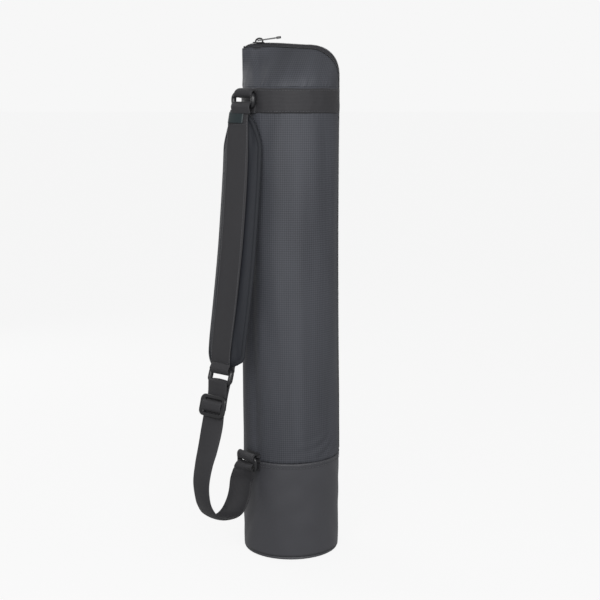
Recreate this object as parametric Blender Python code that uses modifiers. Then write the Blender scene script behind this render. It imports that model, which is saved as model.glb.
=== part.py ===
"""Padded drawing tube with a side zip, a carrying strap and a coated boot.

Metres, +Z up. The base centre is the origin, the strap side faces -X and -Y, and
the zip runs over the top and down the +X side in the XZ plane.
"""
import math

import bmesh
import bpy
from mathutils import Vector

# Driving dimensions.
GAP = 0.0003
BAND_LOW, BAND_HIGH = 0.580, 0.610
BOOT_TOP = 0.130
TUBE_TOP = 0.6113
TUBE_PROFILE = [(0.0613, TUBE_TOP), (0.0614, 0.560), (0.0622, 0.460), (0.0632, 0.340),
                (0.0640, 0.210), (0.0637, BOOT_TOP + GAP)]
BOOT_PROFILE = [(0.0637, BOOT_TOP), (0.0636, 0.060), (0.0633, 0.0054)]
PANEL, FOAM, LINING = 0.0010, 0.0040, 0.0008
WALL_FOOT = 0.0054
ZIP_HALF = 0.0080
HALF_STEPS = 24

# Crown and zip line.
CROWN_BASE = 0.6120
CROWN_RADIUS = 0.0613
CROWN_COLUMNS, CROWN_ROWS = 20, 6
RIDGE_Z = 0.6668
RIDGE_LEFT, RIDGE_RIGHT = -0.052, 0.020
CORNER_RX, CORNER_RZ = 0.0421, 0.0418
EDGE_DROP, EDGE_DROP_SIDE = 0.0050, 0.0013
COIL_RADIUS = 0.0009
ZIP_FOOT = 0.1330

# Base.
PIPING_RADIUS, PIPING_THICK = 0.0612, 0.0022

# Slider and pull tab.
SLIDER_X = -0.041
SLIDER_TOP = RIDGE_Z + 0.0017
PULL_Z = SLIDER_TOP + 0.0021
PULL_REST = math.radians(8.0)

# Strap: s is the distance out from the anchor line, along the strap heading.
# The lower ring sits on a line of its own, moved and turned from the anchor line.
ANCHOR = (-0.052, -0.0325)
HEADING = math.radians(230.0)
WEB, WEB_HALF = 0.0015, 0.0150
PATCH_ANGLE, PATCH_HALF = math.radians(212.0), math.radians(12.5)
LOWER_ANGLE = math.radians(218.0)
LOWER_SHIFT, LOWER_TURN = (0.0016, 0.0062), math.radians(-12.0)
UPPER_RING_Z, LOWER_RING_Z = 0.596, 0.127
UPPER_RING_S, LOWER_RING_S = 0.010, 0.0105
PAD_PATH = [(0.0150, 0.577), (0.0165, 0.550), (0.0215, 0.515), (0.0265, 0.465), (0.0330, 0.405),
            (0.0405, 0.345), (0.0470, 0.295), (0.0510, 0.270), (0.0530, 0.262)]
PAD_HALF = [0.0160, 0.0225, 0.0255, 0.0265, 0.0265, 0.0265, 0.0265, 0.0235, 0.0170]
FACE_HALF = [0.0150, 0.0178, 0.0185, 0.0188, 0.0188, 0.0188, 0.0188, 0.0175, 0.0150]
RING_LEAN = math.radians(18.0)
RING_WIDE, RING_HIGH, RING_THICK = 0.0400, 0.0215, 0.0019
PAD_RING = (0.0575, 0.2480)
ADJUSTER = (0.0704, 0.2110)
ADJUSTER_LEAN = math.atan2(0.0155, 0.0560)
RETURN_FOOT = (0.0640, 0.2080)
LOOP_PATH = [(0.0665, 0.2250), (0.0712, 0.2080), (0.0767, 0.1880),
             (0.0820, 0.1690), (0.0878, 0.1450), (0.0915, 0.1200), (0.0904, 0.1030),
             (0.0860, 0.0860), (0.0780, 0.0720), (0.0660, 0.0632), (0.0520, 0.0607),
             (0.0395, 0.0655), (0.0300, 0.0770), (0.0230, 0.0930), (0.0180, 0.1060),
             (0.0145, 0.1150)]

MATERIALS = {
    "tube_fabric": ((0.052, 0.054, 0.060), 0.85, 0.0),
    "boot_fabric": ((0.046, 0.046, 0.050), 0.55, 0.0),
    "webbing": ((0.038, 0.039, 0.043), 0.80, 0.0),
    "pad_fabric": ((0.030, 0.038, 0.046), 0.90, 0.0),
    "lining": ((0.050, 0.050, 0.054), 0.75, 0.0),
    "foam": ((0.120, 0.120, 0.125), 0.95, 0.0),
    "board": ((0.030, 0.030, 0.032), 0.60, 0.0),
    "plastic": ((0.012, 0.012, 0.013), 0.30, 0.0),
    "zip_tape": ((0.020, 0.020, 0.022), 0.85, 0.0),
    "zip_metal": ((0.060, 0.060, 0.064), 0.35, 0.9),
    "label": ((0.028, 0.080, 0.088), 0.60, 0.0),
}


def clear_scene():
    for obj in list(bpy.context.scene.objects):
        bpy.data.objects.remove(obj, do_unlink=True)


def make_collection(name):
    group = bpy.data.collections.new(name)
    bpy.context.scene.collection.children.link(group)
    return group


def make_material(name):
    colour, roughness, metallic = MATERIALS[name]
    made = bpy.data.materials.new(name)
    made.use_nodes = True
    shader = made.node_tree.nodes["Principled BSDF"]
    shader.inputs["Base Color"].default_value = (*colour, 1.0)
    shader.inputs["Roughness"].default_value = roughness
    shader.inputs["Metallic"].default_value = metallic
    return made


def own_material(obj, kind):
    made = make_material(kind)
    made.name = obj.name + "_" + kind
    obj.data.materials.append(made)


def place(name, data, kind, parent=None):
    obj = bpy.data.objects.new(name, data)
    PARTS.objects.link(obj)
    own_material(obj, kind)
    obj.parent = parent
    return obj


def from_bmesh(name, bm, kind, parent=None, smooth=True):
    mesh = bpy.data.meshes.new(name)
    for face in bm.faces:
        face.smooth = smooth
    bm.to_mesh(mesh)
    bm.free()
    return place(name, mesh, kind, parent)


def empty(name, location, parent=None):
    obj = bpy.data.objects.new(name, None)
    obj.empty_display_size = 0.02
    PARTS.objects.link(obj)
    obj.parent = parent
    obj.location = location
    return obj


def solidify(obj, thickness):
    made = obj.modifiers.new("thickness", "SOLIDIFY")
    made.thickness = thickness
    made.offset = -1.0
    return obj


def shrink(profile, inset, top=None, foot=None):
    """The same wall profile moved inward, with other ends if given."""
    heights = [z for _, z in profile]
    if top is not None:
        heights[0] = top
    if foot is not None:
        heights[-1] = foot
    return [(r - inset, z) for (r, _), z in zip(profile, heights)]


def turned_shell(name, profile, thickness, start, sweep, steps, kind):
    """A wall turned about Z from a profile that runs from top to foot."""
    bm = bmesh.new()
    verts = [bm.verts.new((r, 0.0, z)) for r, z in profile]
    for upper, lower in zip(verts, verts[1:]):
        bm.edges.new((upper, lower))
    obj = from_bmesh(name, bm, kind)
    obj.rotation_euler.z = start
    screw = obj.modifiers.new("turn", "SCREW")
    screw.angle = sweep
    screw.steps = steps
    screw.render_steps = steps
    screw.use_smooth_shade = True
    if sweep > 2.0 * math.pi - 0.001:
        screw.use_merge_vertices = True
        screw.merge_threshold = 0.00005
    return solidify(obj, thickness)


def half_wall(name, profile, thickness, side, kind):
    """Half of the tube wall, from the left seam round to the zip."""
    radius = min(r for r, _ in profile)
    seam = math.asin(GAP / radius)
    zip_angle = math.asin(ZIP_HALF / radius)
    sweep = math.pi - seam - zip_angle
    start = math.pi + seam if side < 0 else zip_angle
    return turned_shell(name, profile, thickness, start, sweep, HALF_STEPS, kind)


def disc(name, radius, low, high, kind, segments=48):
    bm = bmesh.new()
    bmesh.ops.create_cone(bm, cap_ends=True, segments=segments, radius1=radius, radius2=radius,
                          depth=high - low)
    bmesh.ops.translate(bm, verts=bm.verts, vec=(0.0, 0.0, (low + high) / 2.0))
    return from_bmesh(name, bm, kind, smooth=False)


def sheet(name, rows, thickness, kind, flip=False, parent=None):
    """An open surface through rows of points, thickened on its inner side."""
    bm = bmesh.new()
    grid = [[bm.verts.new(point) for point in row] for row in rows]
    for near, far in zip(grid, grid[1:]):
        for k in range(len(near) - 1):
            corners = (near[k], far[k], far[k + 1], near[k + 1])
            bm.faces.new(tuple(reversed(corners)) if flip else corners)
    return solidify(from_bmesh(name, bm, kind, parent), thickness)


def curve_mesh(name, curve, kind, parent=None, smooth=True):
    """A curve made into a welded mesh, so its caps are joined to its sides."""
    carrier = bpy.data.objects.new(name + "_curve", curve)
    PARTS.objects.link(carrier)
    bpy.context.view_layer.update()
    depsgraph = bpy.context.evaluated_depsgraph_get()
    source = carrier.evaluated_get(depsgraph)
    bm = bmesh.new()
    bm.from_mesh(source.to_mesh())
    source.to_mesh_clear()
    bmesh.ops.remove_doubles(bm, verts=bm.verts, dist=0.00002)
    bmesh.ops.recalc_face_normals(bm, faces=bm.faces)
    bpy.data.objects.remove(carrier, do_unlink=True)
    return from_bmesh(name, bm, kind, parent, smooth)


def rod(name, points, radius, kind, closed=False, parent=None):
    curve = bpy.data.curves.new(name, "CURVE")
    curve.dimensions = "3D"
    curve.fill_mode = "FULL"
    curve.bevel_depth = radius
    curve.bevel_resolution = 2
    curve.use_fill_caps = True
    spline = curve.splines.new("POLY")
    spline.points.add(len(points) - 1)
    for slot, point in zip(spline.points, points):
        slot.co = (*point, 1.0)
    spline.use_cyclic_u = closed
    return curve_mesh(name, curve, kind, parent)


def rounded_outline(width, height, corner, per_corner=4):
    points = []
    for quarter in range(4):
        cx = (width / 2.0 - corner) * (1 if quarter in (0, 3) else -1)
        cy = (height / 2.0 - corner) * (1 if quarter in (0, 1) else -1)
        for k in range(per_corner + 1):
            angle = math.radians(90.0 * quarter + 90.0 * k / per_corner)
            points.append((cx + corner * math.cos(angle), cy + corner * math.sin(angle)))
    return points


def plate(name, outlines, thickness, kind, parent=None, round_edge=0.0):
    """A flat plate from a closed outline and its holes, centred on its own plane."""
    curve = bpy.data.curves.new(name, "CURVE")
    curve.dimensions = "2D"
    curve.fill_mode = "BOTH"
    curve.extrude = thickness / 2.0 - round_edge
    curve.bevel_depth = round_edge
    curve.bevel_resolution = 1
    curve.offset = -round_edge
    for outline in outlines:
        spline = curve.splines.new("POLY")
        spline.points.add(len(outline) - 1)
        for slot, (x, y) in zip(spline.points, outline):
            slot.co = (x, y, 0.0, 1.0)
        spline.use_cyclic_u = True
    return curve_mesh(name, curve, kind, parent, smooth=False)


def shift(outline, dx, dy):
    return [(x + dx, y + dy) for x, y in outline]


# Tube walls.

def build_walls():
    for side, tag in ((-1, "front"), (1, "back")):
        half_wall(tag + "_panel", TUBE_PROFILE, PANEL, side, "tube_fabric")
        inner = TUBE_PROFILE[:-1] + [(0.0636, 0.070), (0.0633, WALL_FOOT)]
        foam = shrink(inner, PANEL + GAP, top=0.6105)
        half_wall(tag + "_foam", foam, FOAM, side, "foam")
        lining = shrink(inner, PANEL + FOAM + 2.0 * GAP, top=0.6105)
        half_wall(tag + "_lining", lining, LINING, side, "lining")
    turned_shell("boot_panel", BOOT_PROFILE, PANEL, 0.0, 2.0 * math.pi, 2 * HALF_STEPS,
                 "boot_fabric")
    zip_angle = math.asin(ZIP_HALF / 0.0627)
    band = [(0.0629, BAND_HIGH), (0.0631, BAND_LOW)]
    turned_shell("band_webbing", band, 0.0012, zip_angle, 2.0 * math.pi - 2.0 * zip_angle,
                 2 * HALF_STEPS, "webbing")
    for tag, radius, low, high, angle in (("upper", 0.0646, 0.5960, 0.6085, PATCH_ANGLE),
                                          ("lower", 0.0650, 0.1180, 0.1420, LOWER_ANGLE)):
        patch = [(radius, high), (radius, low)]
        turned_shell(tag + "_anchor_patch", patch, 0.0010, angle - PATCH_HALF,
                     2.0 * PATCH_HALF, 8, "webbing")


def build_base():
    disc("base_panel", 0.0586, 0.0, 0.0015, "boot_fabric")
    disc("base_foam", 0.0580, 0.0018, 0.0050, "foam")
    disc("base_board", 0.0566, 0.0053, 0.0073, "board")
    disc("base_lining", 0.0562, 0.0076, 0.0084, "lining")
    ring = [(PIPING_RADIUS * math.cos(a), PIPING_RADIUS * math.sin(a), PIPING_THICK + 0.0005)
            for a in (math.tau * k / 48.0 for k in range(48))]
    rod("base_piping", ring, PIPING_THICK, "boot_fabric", closed=True)


# Crown: two fabric halves that close on the zip line.

def ridge_points(count_top=12, count_corner=12):
    """Zip line as (x, z, turn): turn is 0 on the top and 90 degrees on the side."""
    points = [(-0.0603, 0.6644, 0.0), (-0.0565, 0.6660, 0.0)]
    for k in range(count_top):
        x = RIDGE_LEFT + (RIDGE_RIGHT - RIDGE_LEFT) * k / count_top
        points.append((x, RIDGE_Z, 0.0))
    for k in range(count_corner + 1):
        turn = math.pi / 2.0 * k / count_corner
        x = RIDGE_RIGHT + CORNER_RX * math.sin(turn)
        z = RIDGE_Z - CORNER_RZ + CORNER_RZ * math.cos(turn)
        points.append((x, z, turn))
    return points


def edge_point(ridge):
    """Folded edge of the crown fabric below a point of the zip line."""
    x, z, turn = ridge
    drop = EDGE_DROP - (EDGE_DROP - EDGE_DROP_SIDE) * math.sin(turn) ** 2
    left = min(1.0, max(0.0, (x + 0.0603) / 0.0083))
    y = 0.0030 + (ZIP_HALF - 0.0030) * left
    x_in = x - drop * math.sin(turn) + (1.0 - left) * 0.0004
    return (x_in, y, z - drop * math.cos(turn))


def crown_rows():
    """Rows of points from the tube's rim up to the folded edge, on the back half."""
    edge = [edge_point(p) for p in ridge_points()]
    edge.append((CROWN_RADIUS - 0.0006, ZIP_HALF, 0.6150))
    lengths = [0.0]
    for a, b in zip(edge, edge[1:]):
        lengths.append(lengths[-1] + (Vector(b) - Vector(a)).length)
    seam = math.asin(GAP / CROWN_RADIUS)
    zip_angle = math.asin(ZIP_HALF / CROWN_RADIUS)
    grid = [[] for _ in range(CROWN_ROWS + 1)]
    for k in range(CROWN_COLUMNS + 1):
        share = k / CROWN_COLUMNS
        top = along(edge, lengths, share * lengths[-1])
        angle = math.pi - seam - (math.pi - seam - zip_angle) * share
        foot = Vector((CROWN_RADIUS * math.cos(angle), CROWN_RADIUS * math.sin(angle), CROWN_BASE))
        for j in range(CROWN_ROWS + 1):
            t = j / CROWN_ROWS
            point = foot.lerp(top, t)
            point.y = top.y + (foot.y - top.y) * math.cos(math.pi / 2.0 * t)
            grid[j].append(point)
    return grid


def inward(grid, depth):
    """Rows of an inner layer, square to the surface and one column short at both ends."""
    moved = []
    for j, row in enumerate(grid):
        line = []
        for k, point in list(enumerate(row))[1:-1]:
            across = row[min(k + 1, len(row) - 1)] - row[max(k - 1, 0)]
            upward = grid[min(j + 1, len(grid) - 1)][k] - grid[max(j - 1, 0)][k]
            inner = point + across.cross(upward).normalized() * depth
            inner.z = max(inner.z, CROWN_BASE)
            line.append(inner)
        moved.append(line)
    return moved


def along(points, lengths, distance):
    for k in range(len(points) - 1):
        if distance <= lengths[k + 1] or k == len(points) - 2:
            span = max(lengths[k + 1] - lengths[k], 1e-9)
            return Vector(points[k]).lerp(Vector(points[k + 1]), (distance - lengths[k]) / span)
    return Vector(points[-1])


def build_crown(flap):
    outer = crown_rows()
    layers = (("panel", 0.0, PANEL, "tube_fabric"), ("foam", 0.0015, 0.0024, "foam"),
              ("lining", 0.0045, 0.0007, "lining"))
    for side, tag, parent in ((-1, "front", flap), (1, "back", None)):
        for layer, depth, thickness, kind in layers:
            grid = inward(outer, depth) if depth else outer
            local = [[move_to((p.x, side * p.y, p.z), parent) for p in row] for row in grid]
            sheet(tag + "_top_" + layer, local, thickness, kind, side < 0, parent)


def move_to(point, parent):
    if parent is None:
        return point
    return tuple(Vector(point) - parent.matrix_world.translation)


# Zip.

def side_radius(z):
    for (r1, z1), (r0, z0) in zip(TUBE_PROFILE, TUBE_PROFILE[1:]):
        if z >= z0:
            return r0 + (r1 - r0) * (z - z0) / (z1 - z0)
    return TUBE_PROFILE[-1][0]


def side_points():
    heights = [0.6120, 0.5900, 0.5600, 0.4600, 0.3400, 0.2100, ZIP_FOOT]
    return [(side_radius(z) + 0.0008, z, math.pi / 2.0) for z in heights]


def tape_rows(points, side):
    rows = []
    for x, z, turn in points:
        edge = edge_point((x, z, turn))
        inner = (x - 0.0010 * math.sin(turn), side * 0.0024, z - 0.0010 * math.cos(turn))
        reach = (edge[1] - 0.0005 - 0.0024) / (edge[1] - 0.0024)
        outer = Vector(inner).lerp(Vector((edge[0], side * edge[1], edge[2])), reach)
        rows.append([inner, tuple(outer)])
    return rows


def coil_points(points, side):
    return [(x - COIL_RADIUS * math.sin(turn), side * 0.0011, z - COIL_RADIUS * math.cos(turn))
            for x, z, turn in points]


def build_zip(flap):
    top = [p for p in ridge_points() if p[0] > -0.0560] + [(0.0621, 0.6145, math.pi / 2.0)]
    lower = side_points()
    whole = top + lower
    sets = (("front_top", top, -1, flap), ("front_side", lower, -1, None),
            ("back", whole, 1, None))
    for tag, points, side, parent in sets:
        rows = [[move_to(point, parent) for point in row] for row in tape_rows(points, side)]
        sheet("zip_tape_" + tag, rows, 0.0007, "zip_tape", side > 0, parent)
        path = [move_to(point, parent) for point in coil_points(points, side)]
        rod("zip_coil_" + tag, path, COIL_RADIUS, "zip_tape", parent=parent)
    box("zip_stop_left", (-0.0582, 0.0, 0.6660), (0.0026, 0.0042, 0.0020), "zip_metal")
    foot = side_radius(ZIP_FOOT)
    box("zip_stop_lower", (foot, 0.0, ZIP_FOOT - 0.0014), (0.0020, 0.0042, 0.0022), "zip_metal")


def box(name, centre, size, kind, bevel=0.0003):
    bm = bmesh.new()
    bmesh.ops.create_cube(bm, size=1.0)
    for vert in bm.verts:
        vert.co = Vector(c + d * s for c, d, s in zip(centre, vert.co, size))
    obj = from_bmesh(name, bm, kind, smooth=False)
    made = obj.modifiers.new("edges", "BEVEL")
    made.width = bevel
    made.segments = 1
    return obj


def build_slider():
    slider = empty("slider_track", (SLIDER_X, 0.0, RIDGE_Z))
    top = SLIDER_TOP - RIDGE_Z
    section = [(-0.0044, top), (-0.0044, -0.0010), (-0.0036, -0.0010), (-0.0036, 0.0003),
               (0.0036, 0.0003), (0.0036, -0.0010), (0.0044, -0.0010), (0.0044, top)]
    body = plate("slider_body", [section], 0.0160, "zip_metal", slider)
    body.rotation_euler = (math.pi / 2.0, 0.0, math.pi / 2.0)
    arch = []
    for k in range(13):
        angle = math.pi * k / 12.0
        arch.append((0.0050 * math.cos(angle), 0.0, top + 0.0009 + 0.0034 * math.sin(angle)))
    rod("slider_bridge", arch, 0.0006, "zip_metal", parent=slider)
    puller = empty("pull_pivot", (0.0, 0.0, PULL_Z - RIDGE_Z), slider)
    stem = [(-0.0010, -0.0034), (0.0210, -0.0040), (0.0226, -0.0032), (0.0226, 0.0032),
            (0.0210, 0.0040), (-0.0010, 0.0034)]
    hole = [(0.0008, -0.0020), (0.0082, -0.0020), (0.0082, 0.0020), (0.0008, 0.0020)]
    tab = plate("pull_tab", [stem, hole], 0.0014, "zip_metal", puller)
    tab.rotation_euler.y = -PULL_REST
    grip = plate("pull_grip", [shift(rounded_outline(0.0062, 0.0092, 0.0020), 0.0261, 0.0)],
                 0.0026, "plastic", puller, round_edge=0.0005)
    grip.rotation_euler.y = -PULL_REST


# Strap, in its own frame: X out along the heading, Y across the webbing.

def offset_path(path, distance):
    """The path moved square to itself; positive is outward."""
    moved = []
    for k, (s, z) in enumerate(path):
        s0, z0 = path[max(k - 1, 0)]
        s1, z1 = path[min(k + 1, len(path) - 1)]
        run = math.hypot(s1 - s0, z1 - z0)
        moved.append((s - distance * (z1 - z0) / run, z + distance * (s1 - s0) / run))
    return moved


def strip(name, path, halves, thickness, kind, parent):
    """Webbing or cloth along a path, thickened on the path's inner side."""
    rows = [[(s, -half, z), (s, 0.0, z), (s, half, z)] for (s, z), half in zip(path, halves)]
    return sheet(name, rows, thickness, kind, False, parent)


def fold_path(bar, radius, tail, start, stop, steps=9):
    """A fold round a bar, from the tail's first point, round, and back to its last."""
    path = [tail[0]]
    for k in range(steps + 1):
        angle = math.radians(start + (stop - start) * k / steps)
        path.append((bar[0] + radius * math.cos(angle), bar[1] + radius * math.sin(angle)))
    path.append(tail[1])
    return path


def ring(name, centre, lean, parent):
    """A rectangular ring of round bar; it leans outward toward its foot."""
    s, z = centre
    wide, high = RING_WIDE - 2.0 * RING_THICK, RING_HIGH - 2.0 * RING_THICK
    points = []
    for across, up in rounded_outline(wide, high, 0.0030, 3):
        points.append((s - up * math.sin(lean), across, z + up * math.cos(lean)))
    return rod(name, points, RING_THICK, "plastic", closed=True, parent=parent)


def build_pad(strap):
    face = PAD_PATH
    strip("pad_face_webbing", face, FACE_HALF, WEB, "webbing", strap)
    foam = offset_path(face, -(WEB + GAP))
    strip("pad_foam", foam, PAD_HALF, 0.0045, "foam", strap)
    backing = offset_path(face, -(WEB + 0.0045 + 2.0 * GAP))
    strip("pad_backing", backing, PAD_HALF, 0.0012, "pad_fabric", strap)
    label = offset_path([(0.0152, 0.5735), (0.0160, 0.5590)], 0.0013)
    strip("pad_label", label, [0.0095, 0.0095], 0.0005, "label", strap)


def build_strap():
    strap = empty("strap_swing_axis", (*ANCHOR, 0.0))
    strap.rotation_euler.z = HEADING
    bpy.context.view_layer.update()
    build_pad(strap)
    anchor_ring(strap, "upper", (UPPER_RING_S, UPPER_RING_Z))
    lower = empty("lower_ring_line", (*LOWER_SHIFT, 0.0), strap)
    lower.rotation_euler.z = LOWER_TURN
    bpy.context.view_layer.update()
    anchor_ring(lower, "lower", (LOWER_RING_S, LOWER_RING_Z))
    reach = RING_HIGH / 2.0 - RING_THICK
    foot = (UPPER_RING_S, UPPER_RING_Z - reach)
    tails = [(foot[0] + 0.0042, foot[1] - 0.0082), (foot[0] + 0.0017, foot[1] - 0.0072)]
    hold = fold_path(foot, 0.0038, tails, 0.0, 250.0)
    strip("pad_upper_tab", hold, [WEB_HALF] * len(hold), WEB, "webbing", strap)
    build_webbing(strap)
    build_adjuster(strap)


def anchor_ring(strap, tag, centre):
    """A ring hung in a short fold of webbing that is sewn to the tube."""
    ring(tag + "_ring", centre, 0.0, strap)
    s, z = centre[0], centre[1] + RING_HIGH / 2.0 - RING_THICK
    tab = fold_path((s, z), 0.0038, [(s - 0.0034, z - 0.0120), (s - 0.0016, z - 0.0100)],
                    180.0, -60.0)
    strip(tag + "_anchor_tab", tab, [WEB_HALF] * len(tab), WEB, "webbing", strap)


def build_webbing(strap):
    reach = RING_HIGH / 2.0 - RING_THICK
    lean = (reach * math.sin(RING_LEAN), reach * math.cos(RING_LEAN))
    ring("pad_ring", PAD_RING, RING_LEAN, strap)
    bar = (PAD_RING[0] - lean[0], PAD_RING[1] + lean[1])
    tails = [(bar[0] - 0.0040, bar[1] + 0.0034), (bar[0] + 0.0036, bar[1] + 0.0034)]
    hold = fold_path(bar, 0.0038, tails, 180.0, 360.0)
    strip("pad_lower_tab", hold, [WEB_HALF] * len(hold), WEB, "webbing", strap)
    bar = (PAD_RING[0] + lean[0], PAD_RING[1] - lean[1])
    path = fold_path(bar, 0.0038, [RETURN_FOOT, LOOP_PATH[0]], 190.0, 10.0) + LOOP_PATH[1:]
    strip("strap_webbing", path, [WEB_HALF] * len(path), WEB, "webbing", strap)


def build_adjuster(strap):
    slide = empty("adjuster_slide_axis", (ADJUSTER[0], 0.0, ADJUSTER[1]), strap)
    slide.rotation_euler.y = -ADJUSTER_LEAN
    slot = rounded_outline(0.0320, 0.0068, 0.0015, 2)
    frame = plate("adjuster_frame", [rounded_outline(0.0420, 0.0270, 0.0045),
                                     shift(slot, 0.0, 0.0060), shift(slot, 0.0, -0.0060)],
                  0.0034, "plastic", slide, round_edge=0.0005)
    frame.rotation_euler = (math.pi / 2.0, 0.0, math.pi / 2.0)
    frame.location.x = 0.0025
    hump = [(0.0020, 0.0062), (0.0035, 0.0045), (0.0062, 0.0030), (0.0062, -0.0030),
            (0.0035, -0.0045), (0.0020, -0.0062)]
    strip("adjuster_webbing", hump, [0.0150] * len(hump), 0.0012, "webbing", slide)


clear_scene()
PARTS = make_collection("drawing_tube")
build_walls()
build_base()
FLAP = empty("flap_hinge", (0.0, -CROWN_RADIUS, CROWN_BASE))
bpy.context.view_layer.update()
build_crown(FLAP)
build_zip(FLAP)
build_slider()
build_strap()
bpy.context.view_layer.update()
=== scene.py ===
import math

import bmesh
import bpy
import numpy as np
from mathutils import Matrix, Vector


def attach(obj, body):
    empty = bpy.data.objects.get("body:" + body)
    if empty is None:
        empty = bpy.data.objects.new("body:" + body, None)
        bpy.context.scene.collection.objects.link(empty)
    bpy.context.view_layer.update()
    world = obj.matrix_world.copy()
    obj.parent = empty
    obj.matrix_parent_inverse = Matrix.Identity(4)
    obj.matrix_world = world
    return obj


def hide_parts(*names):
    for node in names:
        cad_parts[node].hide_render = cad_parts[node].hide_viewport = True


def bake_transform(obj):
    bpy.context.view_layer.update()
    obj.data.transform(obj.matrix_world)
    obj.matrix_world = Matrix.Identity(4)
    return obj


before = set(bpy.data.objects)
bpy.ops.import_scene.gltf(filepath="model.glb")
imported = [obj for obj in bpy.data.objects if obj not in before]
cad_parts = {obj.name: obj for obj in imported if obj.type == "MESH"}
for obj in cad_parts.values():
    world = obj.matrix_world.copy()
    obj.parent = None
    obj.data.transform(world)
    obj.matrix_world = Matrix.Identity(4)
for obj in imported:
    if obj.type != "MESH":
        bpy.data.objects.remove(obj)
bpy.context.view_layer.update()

SEED = 7

# Tube, from the mouth down to the boot, and the boot.
TUBE_Z = [0.6120, 0.560, 0.460, 0.340, 0.210, 0.130, 0.060, 0.005]
TUBE_R = [0.0613, 0.0614, 0.0622, 0.0632, 0.0640, 0.0637, 0.0636, 0.0633]
MOUTH_Z, SEAM_Z, BOOT_FOOT = 0.6118, 0.1302, 0.0052
BAND_LOW, BAND_HIGH = 0.5800, 0.6100
ZIP_HALF = 0.0080
TUBE_BOW = 0.0018
MOUTH_R, ZIP_R = TUBE_R[0], 0.0627
CLOTH = 0.0009
PER_RADIAN = 0.063
FOLD_BLEND = 0.03

# Zip line over the crown.
RIDGE_Z = 0.6668
RIDGE_START, LEFT_RUN = -0.0603, 0.0133
RIDGE_LEFT, RIDGE_RIGHT, RIDGE_FALL = -0.047, 0.020, 0.0014
CORNER_RX, CORNER_RZ, CORNER_FULL = 0.0421, 0.0418, 0.84
ZIP_FOOT = 0.1330
SIDE_PROUD = 0.0010

# Strap, from its anchor line on the tube.
ANCHOR = np.array([-0.052, -0.0325, 0.0])
AZIMUTH = math.radians(40.0)
UP = np.array([0.0, 0.0, 1.0])
OUT = np.array([-math.sin(AZIMUTH), -math.cos(AZIMUTH), 0.0])
ACROSS = np.array([math.cos(AZIMUTH), -math.sin(AZIMUTH), 0.0])


# Small helpers.

def unit(vectors):
    """Vectors scaled to a length of one."""
    return vectors / np.maximum(np.linalg.norm(vectors, axis=-1, keepdims=True), 1e-12)


def run_along(points):
    """The distance walked along a line of points, from its first point."""
    return np.concatenate([[0.0], np.cumsum(np.linalg.norm(np.diff(points, axis=0), axis=1))])


def at_marks(marks, run, line):
    """The places on a line of points at the given distances."""
    return np.stack([np.interp(marks, run, line[:, k]) for k in range(line.shape[1])], -1)


def stacked(*parts):
    return np.stack(np.broadcast_arrays(*parts), -1)


def round_axis(radius, theta, z):
    """Points at a distance and a turn round the tube's axis."""
    return stacked(radius * np.cos(theta), radius * np.sin(theta), z)


def grid_faces(rows, columns, wrap):
    """Four-sided faces between the points of a grid; wrap joins its last column to its first."""
    index = np.arange(rows * columns).reshape(rows, columns)
    if wrap:
        index = np.concatenate([index, index[:, :1]], axis=1)
    return np.stack([index[:-1, :-1], index[1:, :-1], index[1:, 1:], index[:-1, 1:]], axis=-1)


def add_object(name, data):
    obj = bpy.data.objects.new(name, data)
    bpy.context.scene.collection.objects.link(obj)
    return obj


# Materials.

def new_material(name):
    made = bpy.data.materials.new(name)
    made.use_nodes = True
    tree = made.node_tree
    return made, tree, tree.nodes["Principled BSDF"]


def put(node, **values):
    """Sets a node's own sockets; an underscore stands for a space in a socket's name."""
    for name, value in values.items():
        node.inputs[name.replace("_", " ")].default_value = value


def math_node(tree, operation, first, second=None):
    node = tree.nodes.new("ShaderNodeMath")
    node.operation = operation
    for slot, value in zip(node.inputs, (first, second)):
        if value is None:
            continue
        if isinstance(value, (int, float)):
            slot.default_value = value
        else:
            tree.links.new(value, slot)
    return node.outputs[0]


def plus(tree, first, second):
    return math_node(tree, "ADD", first, second)


def times(tree, first, second):
    return math_node(tree, "MULTIPLY", first, second)


def stripes(tree, axis, period):
    """A sine across one coordinate, from -1 to 1."""
    return math_node(tree, "SINE", times(tree, axis, math.tau / period))


def noise(tree, vector, scale, detail=3.0, stretch=None):
    node = tree.nodes.new("ShaderNodeTexNoise")
    put(node, Scale=scale, Detail=detail)
    if stretch:
        mapping = tree.nodes.new("ShaderNodeMapping")
        put(mapping, Scale=stretch)
        tree.links.new(vector, mapping.inputs["Vector"])
        vector = mapping.outputs[0]
    tree.links.new(vector, node.inputs["Vector"])
    return node.outputs[0]


def coordinates(tree, kind):
    """The pattern's directions: flat on the cloth, in the piece's frame, or round the tube."""
    node = tree.nodes.new("ShaderNodeTexCoord")
    split = tree.nodes.new("ShaderNodeSeparateXYZ")
    tree.links.new(node.outputs["Object" if kind == "Around" else kind], split.inputs[0])
    if kind != "Around":
        return node.outputs[kind], split.outputs[0], split.outputs[1]
    x, y, z = split.outputs
    across = times(tree, math_node(tree, "ARCTAN2", y, x), PER_RADIAN)
    reach = math_node(tree, "SQRT", plus(tree, times(tree, x, x), times(tree, y, y)))
    along = plus(tree, z, reach)
    joined = tree.nodes.new("ShaderNodeCombineXYZ")
    tree.links.new(across, joined.inputs[0])
    tree.links.new(along, joined.inputs[1])
    return joined.outputs[0], across, along


def shade(tree, shader, share, tone, low, high):
    """Colours the surface between a darker and a lighter version of its tone."""
    ramp = tree.nodes.new("ShaderNodeValToRGB")
    for element, part in zip(ramp.color_ramp.elements, (low, high)):
        element.color = (*[c * part for c in tone], 1.0)
    tree.links.new(share, ramp.inputs[0])
    tree.links.new(ramp.outputs[0], shader.inputs["Base Color"])


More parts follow.
